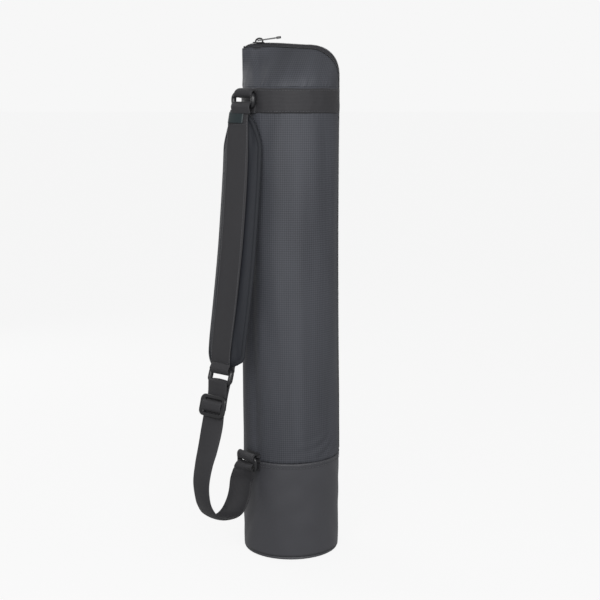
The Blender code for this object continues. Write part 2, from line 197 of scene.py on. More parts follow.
def bump(tree, shader, height, strength, distance):
    node = tree.nodes.new("ShaderNodeBump")
    put(node, Strength=strength, Distance=distance)
    tree.links.new(height, node.inputs["Height"])
    tree.links.new(node.outputs[0], shader.inputs["Normal"])


def solid_material(name):
    made, tree, shader = new_material(name)
    return made, tree, shader, coordinates(tree, "Object")[0]


def woven(name, tone, periods, depths, rough=0.8, sheen=0.25, cloudy=0.25, strength=0.35,
          kind="UV"):
    """Cloth with ribs or a grid across its two directions, and a soft unevenness."""
    made, tree, shader = new_material(name)
    vector, across, along = coordinates(tree, kind)
    weave = plus(tree, times(tree, stripes(tree, across, periods[0]), depths[0]),
                 times(tree, stripes(tree, along, periods[1]), depths[1]))
    fine = math_node(tree, "SUBTRACT", noise(tree, vector, 900.0, 2.0), 0.5)
    cloud = math_node(tree, "SUBTRACT", noise(tree, vector, 34.0, 3.0, (1.0, 0.16, 1.0)), 0.5)
    uneven = plus(tree, times(tree, fine, 0.5), times(tree, cloud, cloudy * 2.0))
    share = plus(tree, plus(tree, weave, uneven), 0.5)
    shade(tree, shader, share, tone, 0.62, 1.38)
    put(shader, Roughness=rough, Sheen_Weight=sheen, Sheen_Roughness=0.45, Specular_IOR_Level=0.32)
    bump(tree, shader, plus(tree, weave, times(tree, fine, 0.6)), strength, 0.0004)
    return made


def coated(name, tone):
    """Smooth coated cloth with a faint grain and a satin surface."""
    made, tree, shader, vector = solid_material(name)
    grain = noise(tree, vector, 1400.0, 2.0)
    cloud = noise(tree, vector, 18.0, 3.0)
    share = plus(tree, times(tree, grain, 0.45), times(tree, cloud, 0.55))
    shade(tree, shader, share, tone, 0.78, 1.22)
    put(shader, Roughness=0.46)
    bump(tree, shader, grain, 0.25, 0.0003)
    return made


def moulded(name, tone, rough, coat=0.0, grain_scale=700.0):
    """Smooth plastic, lacquered metal or rubber with a fine grain."""
    made, tree, shader, vector = solid_material(name)
    grain = noise(tree, vector, grain_scale, 3.0)
    shade(tree, shader, grain, tone, 0.8, 1.2)
    uneven = plus(tree, times(tree, grain, 0.16), rough - 0.08)
    tree.links.new(uneven, shader.inputs["Roughness"])
    put(shader, Coat_Weight=coat)
    bump(tree, shader, grain, 0.12, 0.0002)
    return made


def porous(name, tone):
    """Open foam, its cells painted darker towards their middles: painted shade in the pits."""
    made, tree, shader, vector = solid_material(name)
    cells = tree.nodes.new("ShaderNodeTexVoronoi")
    put(cells, Scale=900.0)
    tree.links.new(vector, cells.inputs["Vector"])
    # painted shade: the colour darkens towards each cell's middle, where the bump sinks a pit
    share = times(tree, cells.outputs["Distance"], 1.6)
    shade(tree, shader, share, tone, 0.55, 1.0)
    put(shader, Roughness=0.95)
    bump(tree, shader, cells.outputs["Distance"], 0.5, 0.0005)
    return made


def make_looks():
    web = ((0.0345, 0.0340, 0.0375), (0.0016, 0.0009), (0.26, 0.14), 0.62, 0.05, 0.15, 0.6)
    return {
        "tube_fabric": woven("tube_grid", (0.0595, 0.0625, 0.0735), (0.0028, 0.0028), (0.20, 0.20),
                             0.60, 0.0, 0.42, 0.5),
        "boot_fabric": coated("boot_coated", (0.0565, 0.0570, 0.0650)),
        "webbing": woven("webbing_ribs", *web),
        "webbing_round": woven("webbing_ribs_round", *web, "Around"),
        "lining_round": woven("lining_cloth_round", (0.055, 0.055, 0.060), (0.0012, 0.0012),
                              (0.15, 0.15), 0.7, 0.1, 0.25, 0.35, "Around"),
        "pad_fabric": woven("pad_cloth", (0.016, 0.018, 0.024), (0.0013, 0.0013), (0.2, 0.2),
                            0.60, 0.1, 0.2, 0.5),
        "binding": woven("binding_tape", (0.014, 0.016, 0.021), (0.0008, 0.0011), (0.2, 0.25),
                         0.60, 0.1, 0.2, 0.5),
        "zip_tape": woven("zip_tape_weave", (0.036, 0.036, 0.041), (0.0011, 0.0011), (0.25, 0.25),
                          0.7, 0.0),
        "thread": woven("thread_twist", (0.105, 0.107, 0.115), (0.0005, 0.0008), (0.1, 0.3),
                        0.55, 0.0),
        "foam": porous("foam_cells", (0.14, 0.14, 0.145)),
        "board": moulded("board_sheet", (0.03, 0.03, 0.032), 0.6),
        "plastic": moulded("plastic_moulded", (0.016, 0.016, 0.018), 0.30, 0.15),
        "coil": moulded("coil_nylon", (0.016, 0.016, 0.018), 0.42),
        "zip_metal": moulded("slider_lacquer", (0.014, 0.014, 0.016), 0.28),
        "label": moulded("label_rubber", (0.014, 0.024, 0.027), 0.42, 0.0, 500.0),
    }


LOOKS = make_looks()


# Mesh building.

def give(obj, look):
    obj.data.materials.clear()
    obj.data.materials.append(LOOKS[look])
    return obj


def grid_object(name, points, uv, look, wrap=False):
    """A smooth surface through rows of points, with its own flat coordinates in metres."""
    faces = grid_faces(*points.shape[:2], wrap)
    mesh = bpy.data.meshes.new(name)
    mesh.from_pydata(points.reshape(-1, 3).tolist(), [], faces.reshape(-1, 4).tolist())
    layer = mesh.uv_layers.new(name="flat")
    corner = grid_faces(*uv.shape[:2], False)
    flat = uv.reshape(-1, 2)[corner[:, : faces.shape[1]].reshape(-1)]
    layer.data.foreach_set("uv", flat.astype(np.float32).reshape(-1))
    mesh.polygons.foreach_set("use_smooth", [True] * len(mesh.polygons))
    mesh.update()
    return give(add_object(name, mesh), look)


def thicken(obj, thickness=CLOTH):
    made = obj.modifiers.new("thickness", "SOLIDIFY")
    made.thickness = thickness
    made.offset = -1.0


def normals_of(points):
    """Outward normals of a grid whose rows run down and whose columns run round."""
    return unit(np.cross(np.gradient(points, axis=0), np.gradient(points, axis=1)))


def radius_at(z):
    return np.interp(z, TUBE_Z[::-1], TUBE_R[::-1])


def seam_rise(theta):
    """How the boot's top edge wanders up and down round the tube."""
    return 0.0024 * np.clip(-np.sin(theta), 0.0, 1.0) - 0.0010 * np.sin(theta - 2.6)


def bow_at(z):
    """How far the standing tube bows to the left at a height."""
    return TUBE_BOW * np.sin(np.pi * np.clip((z - SEAM_Z) / (BAND_LOW - SEAM_Z), 0.0, 1.0))


def soft_noise(a, b, seed, waves=14, reach=9.0):
    """A smooth sum of random waves over two coordinates, about -1 to 1."""
    rng = np.random.default_rng(seed)
    a, b = np.broadcast_arrays(a, b)
    total = np.zeros(a.shape)
    for _ in range(waves):
        turn = rng.uniform(0.0, math.tau)
        pace = rng.uniform(0.25, 1.0) * reach
        total += np.sin(a * pace * math.cos(turn) + b * pace * math.sin(turn)
                        + rng.uniform(0.0, math.tau))
    return total / math.sqrt(waves)


# Cloth.

ENLARGED = 10.0


def settle(name, start, rest, pinned, frames, stiffness, bending, pressure=0.0, wrap=False):
    """Lets a grid of cloth, cut to the rest shape, settle from its start shape.

    The cloth settles at ten times its size, where the solver works best, and without weight."""
    faces = grid_faces(*start.shape[:2], wrap)
    mesh = bpy.data.meshes.new(name)
    mesh.from_pydata((start.reshape(-1, 3) * ENLARGED).tolist(), [],
                     faces.reshape(-1, 4).tolist())
    obj = add_object(name, mesh)
    obj.shape_key_add(name="Basis")
    cut = obj.shape_key_add(name="cut")
    cut.data.foreach_set("co", (rest.reshape(-1) * ENLARGED).astype(np.float32))
    group = obj.vertex_groups.new(name="pinned")
    for k in np.flatnonzero(pinned.reshape(-1)):
        group.add([int(k)], 1.0, "REPLACE")
    made = obj.modifiers.new("cloth", "CLOTH")
    cloth = made.settings
    cloth.quality = 6
    cloth.mass = 0.3
    cloth.tension_stiffness = stiffness
    cloth.compression_stiffness = stiffness
    cloth.shear_stiffness = stiffness
    cloth.bending_stiffness = bending
    cloth.vertex_group_mass = "pinned"
    cloth.rest_shape_key = cut
    cloth.effector_weights.gravity = 0.0
    made.collision_settings.use_collision = False
    if pressure:
        cloth.use_pressure = True
        cloth.uniform_pressure_force = pressure
    scene = bpy.context.scene
    made.point_cache.frame_start, made.point_cache.frame_end = 1, frames
    for frame_number in range(1, frames + 1):
        scene.frame_set(frame_number)
    seen = obj.evaluated_get(bpy.context.evaluated_depsgraph_get())
    found = np.empty(start.size, np.float32)
    seen.data.vertices.foreach_get("co", found)
    bpy.data.objects.remove(obj, do_unlink=True)
    scene.frame_set(1)
    return found.reshape(start.shape).astype(float) / ENLARGED


def held_edges(shape):
    """Marks the points round the edge of a grid, where the cloth is sewn."""
    pinned = np.zeros(shape, bool)
    pinned[[0, -1], :] = True
    pinned[:, [0, -1]] = True
    return pinned


BAND_ROW = 6


def tube_shape(rows=120, columns=240):
    """The main cloth panels as one grid, from the back of the zip round to its front."""
    z = np.linspace(MOUTH_Z, SEAM_Z, rows)[:, None]
    edge = math.asin(ZIP_HALF / ZIP_R)
    theta = np.linspace(edge, math.tau - edge, columns)[None, :]
    radius = radius_at(z) * np.ones_like(theta)
    base, out = round_axis(radius, theta, z), round_axis(np.ones_like(z), theta, 0.0)
    lift = np.zeros_like(radius)
    waves = soft_noise(theta, z * 6.0, SEED, 16, 11.0)
    inside = np.sin(np.linspace(0.0, math.pi, rows))[:, None] ** 0.4
    start = base + out * (waves * 0.0005 * inside)[..., None]
    rest = base * np.array([1.016, 1.016, 1.004])
    pinned = held_edges(radius.shape)
    pinned[BAND_ROW, :] = True
    settled = settle("tube_cloth_rest", start, rest, pinned, 18, 10.0, 2.0)
    lift = np.hypot(settled[..., 0], settled[..., 1]) - radius
    return base, out, np.clip(lift, -0.0009, 0.0016), z, theta


def tube_folds(theta, z, fade):
    """Long soft folds down the tube, and small creases above the boot seam and under the band."""
    slow = soft_noise(theta * 2.0, z * 3.0, SEED + 1, 14, 4.0)
    long_waves = (np.sin(theta * 9.0 + 1.2 * np.sin(z * 7.0)) * 0.6
                  + np.sin(theta * 14.0 + z * 5.0) * 0.4)
    left_dip = np.exp(-((theta - math.radians(222.0) - 0.05 * np.sin(z * 12.0)) / 0.11) ** 2)
    seam = np.exp(-np.abs(z - 0.130) / 0.005)
    pucker = np.sin(theta * 61.0 + 2.0 * np.sin(theta * 7.0)) * seam
    right = np.exp(-((theta - math.radians(318.0)) / 0.55) ** 2)
    slant = np.sin((z - theta * 0.030) * 420.0 + 2.0 * np.sin(theta * 5.0))
    bunched = slant * right * np.exp(-((z - 0.150) / 0.016) ** 2)
    under = np.sin(theta * 74.0 + 2.0 * np.sin(theta * 9.0)) * np.exp(-np.abs(z - 0.578) / 0.006)
    return (slow * 0.0006 * fade + long_waves * 0.00080 * fade - left_dip * 0.0023 * fade
            + pucker * 0.00030 + bunched * 0.0013 + under * 0.0003)


def build_tube():
    """The main panels, bowed and folded, over their padding and lining."""
    base, out, lift, z, theta = tube_shape()
    from_seam = (z - SEAM_Z) / FOLD_BLEND
    fade = np.clip(from_seam, 0.0, 1.0) * np.clip((BAND_LOW - z) / FOLD_BLEND, 0.0, 1.0)
    points = base + out * (lift + tube_folds(theta, z, fade))[..., None]
    points[..., 0] -= bow_at(z)
    points[..., 2] += (seam_rise(theta) - 0.0003) * np.clip(1.0 - from_seam, 0.0, 1.0)
    uv = stacked(theta * PER_RADIAN, z)
    middle = points.shape[1] // 2
    for name, node, span in (("tube_back_cloth", "back_panel", slice(0, middle + 1)),
                             ("tube_front_cloth", "front_panel", slice(middle, None))):
        cloth = grid_object(name, points[:, span], uv[:, span], "tube_fabric")
        thicken(cloth)
        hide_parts(node)
        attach(cloth, "bag")
    for layer, look in (("_foam", "foam"), ("_lining", "lining_round")):
        for tag in ("front", "back"):
            copy = inner_copy(tag + layer, (0.955, 0.955, 1.0), look)
            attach(copy, "bag")


def build_boot():
    """The coated boot with its folded top edge, a groove under it and two rows of stitches."""
    rows, columns = 40, 160
    share = np.linspace(0.0, 1.0, rows)[:, None]
    z = SEAM_Z - 0.0002 - (SEAM_Z - BOOT_FOOT) * share
    theta = np.linspace(0.0, math.tau, columns, endpoint=False)[None, :]
    slow = soft_noise(np.cos(theta) * 2.0, np.sin(theta) * 2.0 + z * 22.0, SEED + 2)
    fade = np.sin(np.pi * share).clip(0.0) ** 0.6
    radius = radius_at(z) + 0.0002 + slow * 0.00045 * fade
    radius = radius + 0.0004 * np.exp(-((z - 0.1275) / 0.0022) ** 2)
    radius = radius - 0.0006 * np.exp(-((z - 0.1225) / 0.0012) ** 2)
    low = np.clip((z - 0.06) / 0.07, 0.0, 1.0)
    points = round_axis(radius, theta, z + seam_rise(theta) * low)
    uv = stacked(np.linspace(0.0, math.tau, columns + 1)[None, :] * 0.0635, z)
    boot = grid_object("boot_cloth", points, uv, "boot_fabric", True)
    thicken(boot)
    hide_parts("boot_panel")
    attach(boot, "bag")
    rings = []
    for height in (0.1282, 0.1240):
        angle = np.linspace(0.0, math.tau, 400)
        rings.append(round_axis(radius_at(height) + 0.0008, angle, height + seam_rise(angle)))
    thread = stitches("boot_stitches", rings, 0.0034, 0.0008, 0.00042)
    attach(thread, "bag")


def stitches(name, lines, length, gap, radius):
    """Rows of short raised stitches along lines of points."""
    verts, faces = [], []
    for line in lines:
        run = run_along(line)
        at = 0.0
        while at + length < run[-1]:
            marks = at + length * np.array([0.0, 0.18, 0.5, 0.82, 1.0])
            spine = at_marks(marks, run, line)
            add_tube(verts, faces, spine, radius * np.array([0.35, 0.9, 1.0, 0.9, 0.35]), 6)
            at += length + gap
    return raw_mesh(name, verts, faces, "thread")


def add_tube(verts, faces, spine, radii, sides):
    """Adds a closed tube along a spine, with its own radius at each point."""
    spine = np.asarray(spine, float)
    tangent = unit(np.gradient(spine, axis=0))
    guide = UP if abs(tangent[:, 2]).max() < 0.9 else np.array([0.0, 1.0, 0.0])
    first = unit(np.cross(tangent, guide))
    second = np.cross(tangent, first)
    start = len(verts)
    angle = np.arange(sides) * math.tau / sides
    for k, centre in enumerate(spine):
        for a in angle:
            side = math.cos(a) * first[k] + math.sin(a) * second[k]
            verts.append(tuple(centre + radii[k] * side))
    for k in range(len(spine) - 1):
        for j in range(sides):
            a, b = start + k * sides + j, start + k * sides + (j + 1) % sides
            faces.append((a, b, b + sides, a + sides))
    last = start + (len(spine) - 1) * sides
    faces.append(tuple(start + j for j in reversed(range(sides))))
    faces.append(tuple(last + j for j in range(sides)))


def turn_out(mesh, weld=False, caps=()):
    """Turns a mesh's faces out, after welding doubled points or adding caps."""
    bm = bmesh.new()
    bm.from_mesh(mesh)
    if weld:
        bmesh.ops.remove_doubles(bm, verts=bm.verts, dist=1e-6)
    bm.verts.ensure_lookup_table()
    for cap in caps:
        bm.faces.new([bm.verts[k] for k in cap])
    bmesh.ops.recalc_face_normals(bm, faces=bm.faces)
    bm.to_mesh(mesh)
    bm.free()


def raw_mesh(name, verts, faces, look):
    """A smooth mesh from lists of points and faces, with its faces turned out."""
    mesh = bpy.data.meshes.new(name)
    mesh.from_pydata(verts, [], faces)
    turn_out(mesh)
    mesh.polygons.foreach_set("use_smooth", [True] * len(mesh.polygons))
    return give(add_object(name, mesh), look)


def rod(name, spine, radii, sides, look):
    """One round bar along a spine."""
    verts, faces = [], []
    add_tube(verts, faces, spine, radii, sides)
    return raw_mesh(name, verts, faces, look)


# Zip line, crown and zip.

def ridge_line(step):
    """Points of the zip line from the left end over the crown to the side, with their turn."""
    line = [(RIDGE_START + LEFT_RUN * k,
             RIDGE_Z - 0.0050 * (1.0 - math.sin(k * math.pi / 2.0)), 0.0)
            for k in np.linspace(0.0, 1.0, 16)[:-1]]
    line += [(RIDGE_LEFT + (RIDGE_RIGHT - RIDGE_LEFT) * k,
              RIDGE_Z + 0.0070 * k * (1.0 - k) ** 2 - RIDGE_FALL * k * k, 0.0)
             for k in np.linspace(0.0, 1.0, 60)[:-1]]
    line += [(RIDGE_RIGHT + (CORNER_RX + SIDE_PROUD - 0.0008) * math.sin(k) ** CORNER_FULL,
              RIDGE_Z - CORNER_RZ + (CORNER_RZ - RIDGE_FALL) * math.cos(k) ** CORNER_FULL, k)
             for k in np.linspace(0.0, math.pi / 2.0, 60)]
    line += [(radius_at(z) - bow_at(z) + SIDE_PROUD, z, math.pi / 2.0)
             for z in np.linspace(0.6240, ZIP_FOOT, 330)]
    line = np.array(line)
    run = run_along(line[:, :2])
    return at_marks(np.arange(0.0, run[-1], step), run, line)


def push_out(points, turn, amount):
    """Moves points along the zip line's outward direction."""
    points[..., 0] += amount * np.sin(turn)
    points[..., 2] += amount * np.cos(turn)


def folded_edge(line):
    """Where the crown cloth folds under beside the zip, as x, |y| and z."""
    x, z, turn = line[:, 0], line[:, 1], line[:, 2]
    side = np.sin(turn) ** 8
    corner = np.sin(2.0 * turn) ** 2
    drop = 0.0050 + 0.0010 * corner - (0.0050 - SIDE_PROUD - 0.0005) * side
    left = np.clip((x - RIDGE_START) / LEFT_RUN, 0.0, 1.0)
    y = 0.0026 + (ZIP_HALF - 0.0026) * left
    ear = 0.0016 * (1.0 - left) ** 4
    return stacked(x - drop * np.sin(turn) + (1.0 - left) * 0.0004 - ear, y,
                   z - drop * np.cos(turn) + 0.0038 * (1.0 - left))


def crown_shape(rows=44, columns=190):
    """One half of the crown's cloth as a grid, from the zip down to the mouth."""
    line = ridge_line(0.0008)
    edge = folded_edge(line[line[:, 1] > 0.6145])
    run = run_along(edge)
    share = np.linspace(0.0, 1.0, columns)
    top = at_marks(share * run[-1], run, edge)
    seam, zip_angle = math.asin(0.0003 / MOUTH_R), math.asin(ZIP_HALF / MOUTH_R)
    angle = math.pi - seam - (math.pi - seam - zip_angle) * share
    foot = round_axis(MOUTH_R, angle, MOUTH_Z)
    t = np.linspace(0.0, 1.0, rows)[:, None]
    points = foot[None] + (top - foot)[None] * t[..., None]
    points[..., 1] = top[None, :, 1] + (foot - top)[None, :, 1] * np.cos(math.pi / 2.0 * t)
    return points[::-1]


def crown_folds(points, t, across, side):
    """Soft dents and small puckers of the crown cloth, as distances along its normals."""
    x = points[..., 0]
    soft = soft_noise(across * 6.0, t * 2.2, SEED + int(side) + 5, 14, 2.2)
    hold = np.sin(np.pi * t) ** 0.7 * np.sin(np.pi * across) ** 0.35
    past = x + 0.0430 - 0.003 * (1.0 - t)
    dent = np.exp(-(past / np.where(past < 0.0, 0.0038, 0.0110)) ** 2)
    low = np.exp(-t / 0.13)
    pucker = np.sin(across * 118.0 + 3.0 * np.sin(across * 17.0) + 1.4 * np.sin(across * 41.0))
    share = 0.55 + 0.45 * np.sin(across * 23.0 + 1.0)
    creases = np.sin(x * 420.0 + t * 4.0) * np.exp(-((t - 0.25) / 0.22) ** 2)
    return (soft * 0.0009 * hold - dent * 0.0044 * np.sin(np.pi * np.clip(t * 0.9 + 0.05, 0, 1))
            + pucker * share * low * 0.0009 * np.clip(t * 14.0, 0.0, 1.0)
            + creases * 0.00022 * hold)


def build_crown():
    """Both halves of the crown, with their padding and lining."""
    for side, tag in ((-1.0, "front"), (1.0, "back")):
        points = crown_shape() * np.array([1.0, side, 1.0])
        if side > 0.0:
            points = points[:, ::-1]
        rows, columns = points.shape[:2]
        t = np.linspace(1.0, 0.0, rows)[:, None]
        out = normals_of(points)
        across = np.linspace(0.0, 1.0, columns)[None, :]
        lift = crown_folds(points, t, across, side)
        start = points + out * (lift * 0.4)[..., None]
        rest = points * np.array([1.012, 1.012, 1.0])
        rest[..., 2] = MOUTH_Z + (points[..., 2] - MOUTH_Z) * 1.012
        pinned = held_edges((rows, columns))
        settled = settle("crown_rest_" + tag, start, rest, pinned, 16, 10.0, 1.5)
        moved = ((settled - start) * out).sum(-1)
        lift = lift + np.clip(moved, -0.0007, 0.0010)
        points = points + out * lift[..., None]
        uv = stacked(across * 2.87 * MOUTH_R, MOUTH_Z + (points[..., 2] - MOUTH_Z) * 1.15)
        cloth = grid_object("crown_" + tag + "_cloth", points, uv, "tube_fabric")
        thicken(cloth)
        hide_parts(tag + "_top_panel")
        join_crown(cloth, tag)
        for layer, look in (("_top_foam", "foam"), ("_top_lining", "lining_round")):
            copy = inner_copy(tag + layer, (0.940, 0.940, 0.930), look)
            join_crown(copy, tag)


def inner_copy(node, shrink, look):
    """An inner layer as a piece of its own, drawn in a little so the cloth can fold over it."""
    copy = add_object(node + "_layer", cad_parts[node].data.copy())
    corners = np.array([v.co for v in copy.data.vertices])
    centre = np.array([0.0, 0.0, TUBE_Z[0]])
    shrunk = centre + (corners - centre) * np.array(shrink)
    copy.data.vertices.foreach_set("co", shrunk.astype(np.float32).reshape(-1))
    give(copy, look)
    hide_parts(node)
    return copy


def join_crown(obj, tag):
    """The front half belongs to the flap: its pieces join no body and keep their place baked into
    their points; the back half stays with the tube.
    """
    if tag == "front":
        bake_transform(obj)
    else:
        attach(obj, "bag")


def build_zip():
    """Each side's tape, teeth and a dark rod painted as the shadow line along the folded cloth; the
    front side goes with the crown's front half.
    """
    step = 0.0015
    line = ridge_line(step)
    line = line[line[:, 0] > -0.0597]
    marks = np.arange(len(line)) * step
    edge = folded_edge(line)
    turn = line[:, 2]
    for side, tag, nodes in ((-1.0, "front", ("zip_tape_front_top", "zip_tape_front_side")),
                             (1.0, "back", ("zip_tape_back",))):
        inner = stacked(line[:, 0], side * 0.0012, line[:, 1])
        push_out(inner, turn, -0.0003)
        outer = edge * np.array([1.0, side * 1.12, 1.0])
        push_out(outer, turn, -0.0022)
        bow = np.array([0.0, 0.16, 0.36, 0.58, 0.8, 1.0])[:, None, None]
        rows = inner[None] + (outer - inner)[None] * bow
        push_out(rows, turn, np.sin(np.pi * bow[:, :, 0]) * 0.0006)
        if side > 0.0:
            rows = rows[::-1]
        uv = stacked(np.linspace(0.0, 0.009, 6)[:, None], marks)
        tape = grid_object("zip_tape_" + tag, rows, uv, "zip_tape")
        thicken(tape, 0.0006)
        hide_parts(*nodes)
        coil = zip_teeth("zip_teeth_" + tag, line, side)
        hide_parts(*[node.replace("tape", "coil") for node in nodes])
        # a dark rod painted as the shadow line under the folded cloth
        shadow_rod = shadow_line_rod("shadow_line_rod_" + tag, edge, turn, side)
        for piece in (tape, coil, shadow_rod):
            join_crown(piece, tag)


def shadow_line_rod(name, edge, turn, side):
    """A thin dark rod along the folded cloth's edge, a painted shadow line where the cloth folds
    over the tape.
    """
    keep = edge[:, 2] > 0.6150
    spine = (edge * np.array([1.0, side, 1.0]))[keep]
    push_out(spine, turn[keep], 0.0004)
    spine[:, 1] += side * 0.0005
    # the dark coil look here is painted shadow, the line under the cloth's fold
    return rod(name, spine, np.full(len(spine), 0.00062), 8, "coil")


def zip_teeth(name, line, side):
    """Small nylon teeth set on alternate sides of the zip line."""
    verts, faces = [], []
    start = 0 if side < 0.0 else 1
    for k in range(2 + start, len(line) - 2, 2):
        x, z, turn = line[k]
        up = np.array([math.sin(turn), 0.0, math.cos(turn)])
        centre = np.array([x, 0.0, z]) - up * 0.0006
        across = np.array([0.0, side, 0.0])
        spine = [centre + across * y + up * h for y, h in
                 ((0.0020, -0.0006), (0.0017, 0.0002), (0.0006, 0.0005), (-0.0006, 0.0004))]
        add_tube(verts, faces, spine, np.array([0.00050, 0.00058, 0.00062, 0.00056]), 6)
    return raw_mesh(name, verts, faces, "coil")


def moulded_plate(name, outlines, thick, round_edge, look):
    """A flat piece with rounded edges from closed outlines; inner outlines are holes."""
    curve = bpy.data.curves.new(name, "CURVE")
    curve.dimensions = "2D"
    curve.fill_mode = "BOTH"
    curve.bevel_depth = round_edge
    curve.bevel_resolution = 3
    curve.offset = -round_edge
    curve.extrude = thick / 2.0 - round_edge
    for outline in outlines:
        ring = curve.splines.new("POLY")
        ring.points.add(len(outline) - 1)
        for point, (x, y) in zip(ring.points, outline):
            point.co = (x, y, 0.0, 1.0)
        ring.use_cyclic_u = True
    made = add_object(name + "_curve", curve)
    seen = made.evaluated_get(bpy.context.evaluated_depsgraph_get())
    mesh = bpy.data.meshes.new_from_object(seen)
    bpy.data.objects.remove(made, do_unlink=True)
    turn_out(mesh, weld=True)
    mesh.shade_smooth()
    mesh.set_sharp_from_angle(angle=math.radians(45.0))
    return give(add_object(name, mesh), look)


def round_box(width, height, corner, dx=0.0, dy=0.0):
    """A rectangle's outline with round corners."""
    outline = []
    for cx, cy, first in ((1, 1, 0), (-1, 1, 90), (-1, -1, 180), (1, -1, 270)):
        for angle in np.radians(np.linspace(first, first + 90, 9)):
            outline.append((dx + cx * (width / 2 - corner) + corner * math.cos(angle),
                            dy + cy * (height / 2 - corner) + corner * math.sin(angle)))
    return outline


SLIDER_X, BAIL_X, BAIL_HALF = -0.041, -0.0400, 0.0044


def build_slider():
    """The zip slider, its bail and the small stop at the zip's left end."""
    nose = [(0.0078 * math.cos(a), 0.0043 * math.sin(a)) for a in np.linspace(-1.2, 1.2, 14)]
    tail = [(-0.0052 + 0.0020 * math.cos(a), 0.0031 * math.sin(a))
            for a in np.linspace(2.0, 4.28, 9)]
    plate = moulded_plate("slider_shell", [nose + tail], 0.0015, 0.0005, "zip_metal")
    plate.data.transform(Matrix.Translation((SLIDER_X, 0.0, RIDGE_Z + 0.0012)))
    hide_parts("slider_body")
    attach(plate, "zip_slider")
    angles = np.linspace(math.pi, 0.0, 17)
    arch = [(BAIL_X - BAIL_HALF, 0.0, RIDGE_Z + 0.0014)]
    arch += [(BAIL_X + BAIL_HALF * math.cos(a) + 0.0008 * math.sin(a), 0.0,
              RIDGE_Z + 0.0024 + 0.0040 * math.sin(a) ** 0.8) for a in angles]
    arch.append((BAIL_X + BAIL_HALF, 0.0, RIDGE_Z + 0.0014))
    bail = rod("slider_bail", arch, np.full(len(arch), 0.00105), 10, "zip_metal")
    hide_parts("slider_bridge")
    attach(bail, "zip_slider")
    spine = [(-0.0588, y, RIDGE_Z - 0.0040) for y in (-0.0021, -0.0018, 0.0018, 0.0021)]
    stop = rod("zip_stop_bar", spine, np.array([0.0005, 0.0010, 0.0010, 0.0005]), 10, "zip_metal")
    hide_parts("zip_stop_left")
    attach(stop, "bag")


# Strap.

def spline(points, count):
    """A smooth curve through points, evenly spaced along its first two coordinates."""
    points = np.asarray(points, float)
    padded = np.vstack([2 * points[0] - points[1], points, 2 * points[-1] - points[-2]])
    found = []
    for k in range(1, len(padded) - 2):
        p0, p1, p2, p3 = padded[k - 1 : k + 3]
        for t in np.linspace(0.0, 1.0, 16, endpoint=False):
            found.append(0.5 * (2 * p1 + (p2 - p0) * t + (2 * p0 - 5 * p1 + 4 * p2 - p3) * t * t
                                + (3 * p1 - p0 - 3 * p2 + p3) * t ** 3))
    found.append(points[-1])
    found = np.array(found)
    run = run_along(found[:, :2])
    marks = np.linspace(0.0, run[-1], count)
    return at_marks(marks, run, found), marks


def strap_point(s, z, w=0.0):
    """World place of a point s out, z up and w across from the anchor line."""
    return ANCHOR + OUT * s + ACROSS * w + UP * z


def strap_frames(path, count):
    """Centres, sideways and outward directions for (s, z, azimuth in degrees, w) points."""
    path = [(*point, 0.0) if len(point) == 3 else point for point in path]
    dense, marks = spline(path, count)
    azimuth = np.radians(dense[:, 2])
    centres = strap_point(dense[:, :1], dense[:, 1:2], dense[:, 3:4])
    sideways = stacked(np.cos(azimuth), -np.sin(azimuth), 0.0)
    tangent = unit(np.gradient(centres, axis=0))
    sideways = unit(sideways - tangent * (sideways * tangent).sum(-1, keepdims=True))
    return centres, sideways, np.cross(tangent, sideways), marks


def close_ends(obj, around, count):
    """Caps both ends of a tube-like grid with count rings of points, and turns its faces out."""
    last = (count - 1) * around
    turn_out(obj.data, caps=(range(around), [last + k for k in reversed(range(around))]))
    return obj


def ribbon(name, path, count, halves, thickness, look="webbing", bow=0.0, lift=0.0,
           shape=None):
    """A band of webbing with rounded edges along a path; its outer face is on the path.

    Its look picks its material. bow bends its edges in, lift raises it off the path, and shape
    moves each lengthwise row."""
    centres, sideways, outward, marks = strap_frames(path, count)
    half = np.interp(np.linspace(0, 1, count), np.linspace(0, 1, len(halves)), halves)
    edge = thickness / 2.0
    shares = np.linspace(-1.0, 1.0, 13)
    section = [(s, 0.0, 0.0) for s in shares] + [(1.0, edge * 0.7, -edge)]
    section += [(s, 0.0, -thickness) for s in shares[::-1]] + [(-1.0, -edge * 0.7, -edge)]
    rows, across = [], []
    for share, extra, depth in section:
        place = half * share * (1.0 - edge / half) + extra
        back = np.full(count, depth + lift) - bow * share * share
        row = centres + sideways * place[:, None] + outward * back[:, None]
        rows.append(row + shape(share, centres) if shape else row)
        across.append(place + 0.02)
    uv = stacked(np.stack(across + across[:1], -1), marks[:, None])
    obj = grid_object(name, np.stack(rows, 1), uv, look, True)
    return close_ends(obj, len(section), count)


PAD_PATH = [(0.0125, 0.5830, 42, -0.0056), (0.0150, 0.5720, 42, -0.0062),
            (0.0180, 0.5450, 40, -0.0050), (0.0215, 0.5100, 40, -0.0040),
            (0.0265, 0.4650, 40, -0.0034), (0.0335, 0.4050, 40, -0.0033),
            (0.0420, 0.3450, 40, -0.0038), (0.0495, 0.2950, 41, -0.0050),
            (0.0530, 0.2700, 42, -0.0044), (0.0535, 0.2600, 42, -0.0032)]
LOOP_PATH = [(0.0612, 0.2448, 40), (0.0655, 0.2286, 39), (0.0700, 0.2116, 35), (0.0752, 0.1880, 29),
             (0.0836, 0.1620, 35), (0.0914, 0.1420, 43), (0.0966, 0.1190, 47), (0.0944, 0.0975, 49),
             (0.0884, 0.0828, 46), (0.0793, 0.0710, 42), (0.0654, 0.0632, 36),
             (0.0496, 0.0600, 24), (0.0366, 0.0646, 14), (0.0274, 0.0768, 8),
             (0.0220, 0.0910, 6), (0.0190, 0.1060, 8)]
PAD_LOOP, ADJUSTER = (0.0566, 0.2516), (0.0694, 0.2146)
